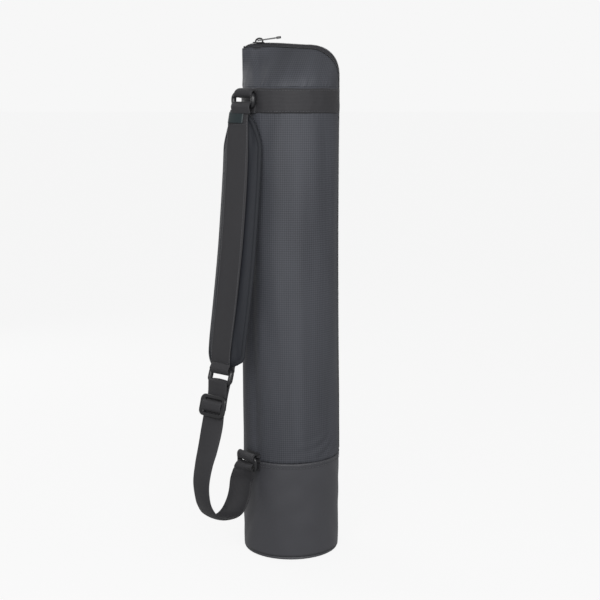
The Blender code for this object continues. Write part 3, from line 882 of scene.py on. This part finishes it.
LOWER_OUT, LOWER_Z = 0.0120, 0.129
WEB_REAL = 0.0161
FOLD = 0.0054
RING_WIDE, RING_HIGH, RING_BAR = 0.0400, 0.0215, 0.0019
BAR_REACH = RING_HIGH / 2.0 - RING_BAR


def build_pad():
    """The shoulder pad: webbing face, cushion, binding, blank label and stitches."""
    halves = [0.0168, 0.0190, 0.0196, 0.0190, 0.0182, 0.0174, 0.0164]
    face = ribbon("pad_face_strap", PAD_PATH, 90, halves, 0.0016, bow=0.0006)
    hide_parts("pad_face_webbing")
    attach(face, "strap")
    body, binding = pad_body()
    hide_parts("pad_foam", "pad_backing")
    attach(body, "strap")
    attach(binding, "strap")
    tag_path = [(0.0134, 0.5808, 42, -0.0092), (0.0148, 0.5745, 42, -0.0094),
                (0.0160, 0.5690, 41, -0.0093), (0.0163, 0.5676, 41, -0.0093)]
    label = ribbon("pad_label_blank", tag_path, 16, [0.0130, 0.0130], 0.0016, "label", 0.0009,
                   0.0013)
    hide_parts("pad_label")
    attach(label, "strap")
    lines = []
    centres, sideways, outward, _ = strap_frames(PAD_PATH[1:], 300)
    for share in (-0.0163, 0.0163):
        lines.append(centres + sideways * share - outward * 0.0003)
    for at in (6, 292):
        cross = np.linspace(-0.0150, 0.0150, 12)[:, None]
        lines.append(centres[at] + sideways[at] * cross + outward[at] * 0.0001)
    thread = stitches("pad_stitches", lines, 0.0028, 0.0010, 0.00028)
    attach(thread, "strap")


def squared(wave, power):
    """A wave with fuller crests, for an outline between an oval and a rectangle."""
    return np.sign(wave) * np.abs(wave) ** power


def pad_body(count=110, around=36):
    """The padded backing, arched across with rounded ends, and the tape bound round its edge."""
    centres, sideways, outward, marks = strap_frames(PAD_PATH, count)
    reach, corner, wide, arch = marks[-1], 0.020, 0.0318, 0.0068
    from_end = np.minimum(marks, reach - marks)
    into = np.clip(corner - from_end, 0.0, corner)
    half = wide - corner + np.sqrt(np.maximum(corner * corner - into * into, 0.0))
    top = np.clip(marks / 0.048, 0.0, 1.0)
    half = half * (0.62 + 0.38 * top * top * (3.0 - 2.0 * top))
    angle = np.linspace(0.0, math.tau, around, endpoint=False)
    across, deep = squared(np.cos(angle), 0.7), squared(np.sin(angle), 0.6)
    thick = 0.0034 * (0.35 + 0.65 * np.clip(from_end / 0.012, 0.0, 1.0) ** 0.7)
    inset = (half - 0.0022)[:, None] * across[None]
    bend = arch * (inset / wide) ** 2
    middle = centres - outward * 0.0052
    rows = (middle[:, None] + sideways[:, None] * inset[..., None]
            + outward[:, None] * (thick[:, None] * deep[None] - bend)[..., None])
    pinned = np.zeros((count, around), bool)
    pinned[:, (np.abs(across) < 0.62) & (deep > 0.3)] = True
    pinned[[0, -1]] = True
    rest = middle[:, None] + (rows - middle[:, None]) * 1.03
    settled = settle("pad_rest", rows, rest, pinned, 18, 12.0, 1.0, 4.0, True)
    change = settled - rows
    size = np.linalg.norm(change, axis=-1, keepdims=True)
    rows = rows + change * np.minimum(1.0, 0.0014 / np.maximum(size, 1e-9))
    uv = stacked(np.linspace(0.0, 0.13, around + 1)[None], marks[:, None])
    body = grid_object("pad_cushion", rows, uv, "pad_fabric", True)
    close_ends(body, around, count)
    return body, pad_binding(middle, sideways, outward, half, wide, arch)


def pad_binding(middle, sideways, outward, half, wide, arch):
    """Tape folded over the pad's edge, all the way round."""
    ends = np.linspace(1.0, -1.0, 14)[1:-1]
    last = len(half) - 1
    loop = [(k, half[k]) for k in range(len(half))]
    loop += [(last, half[last] * e) for e in ends]
    loop += [(k, -half[k]) for k in reversed(range(len(half)))]
    loop += [(0, -half[0] * e) for e in ends]
    edge = np.array([middle[k] + sideways[k] * w - outward[k] * arch * (w / wide) ** 2
                     for k, w in loop])
    face = np.array([outward[k] + sideways[k] * 2.0 * arch * w / wide ** 2 for k, w in loop])
    along = unit(np.roll(edge, -2, 0) - np.roll(edge, 2, 0))
    face = unit(face - along * (face * along).sum(-1, keepdims=True))
    inward = np.cross(along, face)
    upper = [(0.0, 0.0013), (0.0012, 0.0019), (0.0030, 0.0021), (0.0046, 0.0020), (0.0050, 0.0010)]
    section = [(-0.0004, 0.0)] + upper + [(a, -b) for a, b in reversed(upper)]
    side = np.sign(((edge - middle.mean(0)) * inward).sum(-1).mean())
    rows = np.stack([edge - inward * side * a + face * b for a, b in section], 1)
    rows = np.concatenate([rows, rows[:1]])
    width = np.linspace(0.0, 0.014, len(section) + 1)
    uv = stacked(width[None], run_along(rows[:, 0])[:, None])
    obj = grid_object("pad_binding", rows, uv, "binding", True)
    turn_out(obj.data, weld=True)
    return obj


def turned_tab(name, bar, start, stop, tails, azimuth, nodes, w=0.0, shape=None, half=WEB_REAL):
    """Webbing folded round a bar, with its two ends running to the given points."""
    angles = np.radians(np.linspace(start, stop, 12))
    path = [(*tails[0], azimuth, w)]
    path += [(bar[0] + FOLD * math.cos(a), bar[1] + FOLD * math.sin(a), azimuth, w) for a in angles]
    path += [(*tails[1], azimuth, w)]
    tab = ribbon(name, path, 56, [half, half], 0.0016, shape=shape)
    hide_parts(*nodes)
    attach(tab, "strap")
    return tab


def loop_ring(name, centre, lean, azimuth, node, corner=0.0060, full=1.0):
    """A moulded ring with fuller side bars; w runs across it and up runs along the strap."""
    s, z, w = centre
    wide = RING_WIDE - 0.0042
    outline = np.array(round_box(wide, RING_HIGH - 0.0036, corner))
    turn = math.radians(azimuth)
    across = np.array([math.cos(turn), -math.sin(turn), 0.0])
    out = np.array([-math.sin(turn), -math.cos(turn), 0.0])
    up = -out * math.sin(lean) + UP * math.cos(lean)
    normal = out * math.cos(lean) + UP * math.sin(lean)
    spine = strap_point(s, z, w) + across * outline[:, :1] + up * outline[:, 1:]
    along = unit(np.roll(outline, -1, 0) - np.roll(outline, 1, 0))
    inward = -along[:, 1:] * across + along[:, :1] * up
    side = full * np.clip((np.abs(outline[:, 0]) - wide / 2 + corner) / corner, 0.0, 1.0)
    angle = np.linspace(0.0, math.tau, 14, endpoint=False)
    rows = (spine[:, None]
            + inward[:, None] * ((0.0018 + 0.0012 * side)[:, None] * np.cos(angle)
                                 + (0.0007 * side)[:, None])[..., None]
            + normal * ((0.0019 + 0.0016 * side)[:, None] * np.sin(angle))[..., None])
    rows = np.concatenate([rows, rows[:1]])
    uv = np.zeros((len(rows), len(angle) + 1, 2))
    ring = grid_object(name, rows, uv, "plastic", True)
    turn_out(ring.data, weld=True)
    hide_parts(node)
    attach(ring, "strap")
    return ring


def rounded_end(share, centres):
    """The webbing follows the ring's rounded corners, so its ends drop."""
    past = np.clip((abs(share) - 0.50) / 0.50, 0.0, 1.0)
    drop = 0.0075 if share < 0.0 else 0.0030
    high = np.clip((centres[:, 2] - 0.5990) / 0.0050, 0.0, 1.0)
    moved = np.zeros_like(centres)
    moved[:, 2] = -drop * (1.0 - math.sqrt(1.0 - 0.97 * past * past)) * high
    return moved


def build_strap():
    """The pad, the three rings with their tabs, the webbing and the adjuster."""
    build_pad()
    loop_ring("upper_loop", (0.0100, 0.596, 0.0), 0.0, 42, "upper_ring", 0.0075)
    turned_tab("upper_tab_fold", (0.0094, 0.5965 + BAR_REACH), 150.0, -100.0,
               [(0.0010, 0.6085), (0.0010, 0.5985)], 42, ["upper_anchor_tab"], 0.0012, rounded_end,
               0.0168)
    turned_tab("pad_upper_fold", (0.0104, 0.596 - BAR_REACH), 0.0, 200.0,
               [(0.0138, 0.5800), (0.0060, 0.5800)], 42, ["pad_upper_tab"])
    loop_ring("lower_loop", lower_place(LOWER_OUT, LOWER_Z), 0.0, 50, "lower_ring", 0.0060, 0.4)
    s, z, w = lower_place(LOWER_OUT, LOWER_Z + BAR_REACH)
    turned_tab("lower_tab_fold", (s - 0.0004, z - 0.0012), 160.0, -100.0,
               [(s - 0.0085, z + 0.0010), (s - 0.0085, z - 0.0070)], 50, ["lower_anchor_tab"], w,
               None, 0.0172)
    lean = math.radians(18.0)
    loop_ring("pad_loop", (*PAD_LOOP, 0.0), lean, 40, "pad_ring", 0.0050)
    across_bars = BAR_REACH * np.array([-math.sin(lean), math.cos(lean)])
    top, foot = PAD_LOOP + across_bars, PAD_LOOP - across_bars
    turned_tab("pad_lower_fold", top, 170.0, 375.0,
               [(top[0] - 0.0070, top[1] + 0.0060), (top[0] + 0.0014, top[1] + 0.0070)], 40,
               ["pad_lower_tab"])
    build_webbing(foot)
    build_adjuster()


def lower_place(s, z):
    """A place given from the lower ring's own line, in strap coordinates."""
    turn = math.radians(12.0)
    return 0.0016 + s * math.cos(turn), z, 0.0072 - s * math.sin(turn)


def build_webbing(foot):
    """The strap's webbing, from the pad ring's foot through the loop to the lower ring."""
    angles = np.radians(np.linspace(190.0, 20.0, 9))
    path = [(0.0632, 0.2096, 39), (0.0592, 0.2266, 39)]
    path += [(foot[0] + FOLD * math.cos(a), foot[1] + FOLD * math.sin(a), 39) for a in angles]
    path += LOOP_PATH[1:]
    s, z, w = lower_place(LOWER_OUT, LOWER_Z - BAR_REACH + 0.0012)
    for turn, azimuth in ((-35, 22), (10, 38), (50, 48), (90, 50), (125, 50)):
        a = math.radians(turn)
        path.append((s + 0.0060 * math.cos(a), z + 0.0056 * math.sin(a), azimuth, w))
    halves = [WEB_REAL] * 7 + [0.0158, 0.0148, 0.0148, 0.0155]
    bows = np.interp(np.linspace(0.0, 1.0, 380), np.linspace(0.0, 1.0, len(halves)),
                     [0.0012] * 7 + [0.0020, 0.0052, 0.0052, 0.0010])
    strap = ribbon("strap_ribbon", path, 380, halves, 0.0017, bow=bows)
    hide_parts("strap_webbing")
    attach(strap, "strap")


def build_adjuster():
    """The slide adjuster and the webbing humped over its middle bar."""
    lean = math.atan2(0.0155, 0.0560)
    up = np.array([-math.sin(lean), math.cos(lean)])
    out = np.array([math.cos(lean), math.sin(lean)])
    centre = np.array(ADJUSTER)
    hump = []
    for depth, rise in ((0.0008, 0.0078), (0.0034, 0.0066), (0.0058, 0.0040), (0.0064, 0.0),
                        (0.0058, -0.0040), (0.0034, -0.0066), (0.0008, -0.0078)):
        s, z = centre + out * depth + up * rise
        hump.append((s, z, 38.5))
    web = ribbon("adjuster_hump", hump, 40, [0.0163, 0.0163], 0.0014)
    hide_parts("adjuster_webbing")
    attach(web, "adjuster")
    frame_piece = moulded_plate("adjuster_slider",
                                [round_box(0.0432, 0.0278, 0.0075),
                                 round_box(0.0288, 0.0056, 0.0018, 0.0012, 0.0064),
                                 round_box(0.0288, 0.0056, 0.0018, 0.0012, -0.0064)],
                                0.0040, 0.0015, "plastic")
    place = np.eye(4)
    place[:3, 0] = ACROSS
    place[:3, 1], place[:3, 2] = OUT * up[0] + UP * up[1], OUT * out[0] + UP * out[1]
    place[:3, 3] = strap_point(*(centre + out * 0.0025))
    frame_piece.data.transform(Matrix(place.tolist()))
    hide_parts("adjuster_frame")
    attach(frame_piece, "adjuster")


CAD_LOOKS = (("foam", "foam"), ("lining", "lining_round"), ("slider", "zip_metal"),
             ("zip_stop", "zip_metal"), ("_ring", "plastic"), ("adjuster_frame", "plastic"))


def dress_cad():
    """Detailed looks for the CAD pieces that stay in view."""
    looks = {"base_panel": "boot_fabric", "base_piping": "boot_fabric", "base_board": "board",
             "pull_tab": "zip_metal", "pull_grip": "plastic"}
    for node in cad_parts.values():
        look = looks.get(node.name, "webbing_round")
        for part, kind in CAD_LOOKS:
            if part in node.name:
                look = kind
        node.data.materials.clear()
        node.data.materials.append(LOOKS[look])


def build_band():
    """The webbing band under the mouth, open where the zip passes."""
    rows, columns = 14, 220
    edge = math.asin(ZIP_HALF / ZIP_R)
    theta = np.linspace(edge, math.tau - edge, columns)[None, :]
    share = np.linspace(0.0, 1.0, rows)[:, None]
    wave = soft_noise(theta * 3.0, 0.0, SEED + 9, 10, 5.0)
    z = BAND_HIGH + 0.0006 * wave - (BAND_HIGH - BAND_LOW + 0.0004 * wave) * share
    radius = 0.0630 + 0.0002 * soft_noise(theta * 4.0, share * 2.0, SEED + 10)
    radius = radius - 0.0005 * (np.abs(share - 0.5) * 2.0) ** 8
    points = round_axis(radius, theta, z)
    uv = stacked(0.03 * share, theta * PER_RADIAN)
    band = grid_object("band_ribbon", points, uv, "webbing")
    thicken(band, 0.0014)
    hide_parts("band_webbing")
    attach(band, "bag")
    angle = np.linspace(edge + 0.03, math.tau - edge - 0.03, 500)
    lines = [round_axis(0.06325, angle, level)
             for level in (BAND_HIGH - 0.0022, BAND_LOW + 0.0022)]
    thread = stitches("band_stitches", lines, 0.0026, 0.0011, 0.00026)
    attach(thread, "bag")


# Camera, floor and light.

FLOOR_HALF = 60.0


def build_view():
    """The camera at the photograph's angle, and a pale floor that shows no horizon."""
    data = bpy.data.cameras.new("camera")
    data.lens = 70.56
    data.sensor_width = 36.0
    camera = add_object("camera", data)
    camera.location = (0.012, -1.528, 0.596)
    camera.rotation_euler = (math.radians(90.0 - 9.65), 0.0, 0.0)
    bpy.context.scene.camera = camera
    mesh = bpy.data.meshes.new("floor")
    corners = [(x * FLOOR_HALF, y * FLOOR_HALF, -0.0004)
               for x, y in ((-1, -1), (1, -1), (1, 1), (-1, 1))]
    mesh.from_pydata(corners, [], [(0, 1, 2, 3)])
    floor = add_object("floor", mesh)
    made, _, shader = new_material("floor_pale")
    put(shader, Base_Color=(0.08, 0.08, 0.08, 1.0), Roughness=0.95, Specular_IOR_Level=0.0,
        Emission_Color=(1.0, 1.0, 1.0, 1.0), Emission_Strength=0.885)
    mesh.materials.append(made)
    floor.visible_diffuse = False
    floor.visible_glossy = False


def area_light(name, place, target, size, power):
    data = bpy.data.lights.new(name, "AREA")
    data.shape = "RECTANGLE"
    data.size, data.size_y = size
    data.energy = power
    light = add_object(name, data)
    light.visible_camera = False
    light.location = place
    light.rotation_euler = (Vector(target) - Vector(place)).to_track_quat("-Z", "Y").to_euler()


def build_light():
    """Soft studio light: a pale world, a wide key in front and a rim light behind on the left."""
    world = bpy.data.worlds.new("studio")
    world.use_nodes = True
    tree = world.node_tree
    lit = tree.nodes["Background"]
    put(lit, Color=(1.0, 1.0, 1.0, 1.0), Strength=0.40)
    seen = tree.nodes.new("ShaderNodeBackground")
    put(seen, Color=(0.93, 0.93, 0.93, 1.0), Strength=1.0)
    path = tree.nodes.new("ShaderNodeLightPath")
    mix = tree.nodes.new("ShaderNodeMixShader")
    tree.links.new(path.outputs["Is Camera Ray"], mix.inputs[0])
    tree.links.new(lit.outputs[0], mix.inputs[1])
    tree.links.new(seen.outputs[0], mix.inputs[2])
    tree.links.new(mix.outputs[0], tree.nodes["World Output"].inputs["Surface"])
    bpy.context.scene.world = world
    bpy.context.scene.view_settings.view_transform = "Standard"
    area_light("key", (0.05, -1.15, 0.85), (0.0, 0.0, 0.50), (1.7, 0.6), 13.0)
    area_light("left_rim", (-0.95, 1.05, 0.95), (0.0, 0.0, 0.45), (0.9, 1.3), 6.0)


dress_cad()
build_tube()
build_boot()
build_band()
build_crown()
build_zip()
build_slider()
build_strap()
build_view()
build_light()
